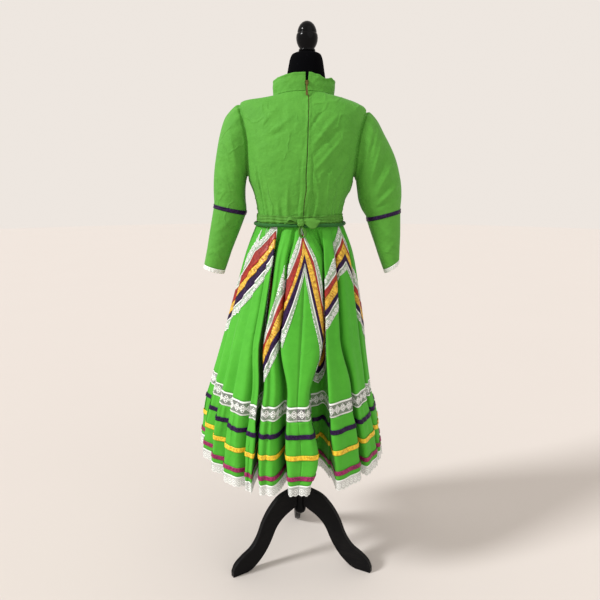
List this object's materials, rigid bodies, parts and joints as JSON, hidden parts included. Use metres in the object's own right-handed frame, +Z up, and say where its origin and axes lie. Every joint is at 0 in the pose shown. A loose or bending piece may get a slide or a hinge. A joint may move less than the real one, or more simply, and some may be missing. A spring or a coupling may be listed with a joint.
{
  "type": "folklorico dress on dress form",
  "caption": "Full skirted folklorico dress with long sleeves, stand collar, ribbon and lace trim and a tied sash, standing on a limbless dress form with a tripod stand.",
  "frame": {"origin": "on the floor under the middle of the whole object, at the foot of the stand's pole", "axes": "+Z up; -Y towards the wearer's back, the side shown in the picture; +X to the right of that view"},
  "size_m": [0.6078, 0.51, 1.635],
  "materials": {
    "cotton_green": "light cotton poplin, slightly creased",
    "cord_green": "rolled dark green cotton edge",
    "lace_white": "white floral nylon lace",
    "satin_red": "red satin ribbon",
    "satin_gold": "gold puckered satin ribbon",
    "satin_yellow": "yellow satin ribbon",
    "satin_purple": "dark purple satin ribbon",
    "satin_magenta": "magenta satin ribbon",
    "form_cover": "black knitted cover",
    "black_gloss": "gloss black",
    "black_metal": "satin black powder coat",
    "black_wood": "satin black lacquered board",
    "zip_brass": "aged brass",
    "zip_tape": "coil zip, dark"
  },
  "bodies": {
    "garment": {"form_torso": "form_cover", "finial": "black_gloss", "pole": "black_metal", "hub": "black_metal", "leg_left": "black_wood", "leg_right": "black_wood", "leg_back": "black_wood", "sleeve_left": "cotton_green", "sleeve_right": "cotton_green", "sleeve_ribbon_left": "satin_purple", "sleeve_ribbon_right": "satin_purple", "cuff_lace_left": "lace_white", "cuff_lace_right": "lace_white", "bodice_back_left": "cotton_green", "bodice_back_right": "cotton_green", "bodice_front": "cotton_green", "front_flounce": "cotton_green", "front_flounce_lace": "lace_white", "collar": "cotton_green", "zip": "zip_tape", "zip_slider": "zip_brass", "skirt_back_right": "cotton_green", "skirt_front_right": "cotton_green", "skirt_front_left": "cotton_green", "skirt_back_left": "cotton_green", "insertion_back_right": "lace_white", "insertion_front_right": "lace_white", "insertion_front_left": "lace_white", "insertion_back_left": "lace_white", "flounce_back_right": "cotton_green", "flounce_front_right": "cotton_green", "flounce_front_left": "cotton_green", "flounce_back_left": "cotton_green", "hem_lace_back_right": "lace_white", "hem_lace_front_right": "lace_white", "hem_lace_front_left": "lace_white", "hem_lace_back_left": "lace_white", "chevron_lace_outer": "lace_white", "chevron_red": "satin_red", "chevron_gold": "satin_gold", "chevron_purple": "satin_purple", "chevron_lace_inner": "lace_white", "flounce_ribbon_purple": "satin_purple", "flounce_ribbon_yellow": "satin_yellow", "flounce_ribbon_magenta": "satin_magenta", "belt": "cotton_green", "belt_cord": "cord_green", "bow_knot": "cotton_green", "bow_loop_left": "cotton_green", "bow_tail_right": "cotton_green", "bow_loop_hanging": "cotton_green"},
    "pull_tab": {"zip_tab": "zip_brass"}
  },
  "joints": [
    {"name": "tab_swing", "type": "hinge", "parent": "garment", "child": "pull_tab", "pos_m": [0.01861, -0.06965, 1.4675], "axis": [-1, 0, 0], "range_deg": [0, 150]}
  ]
}
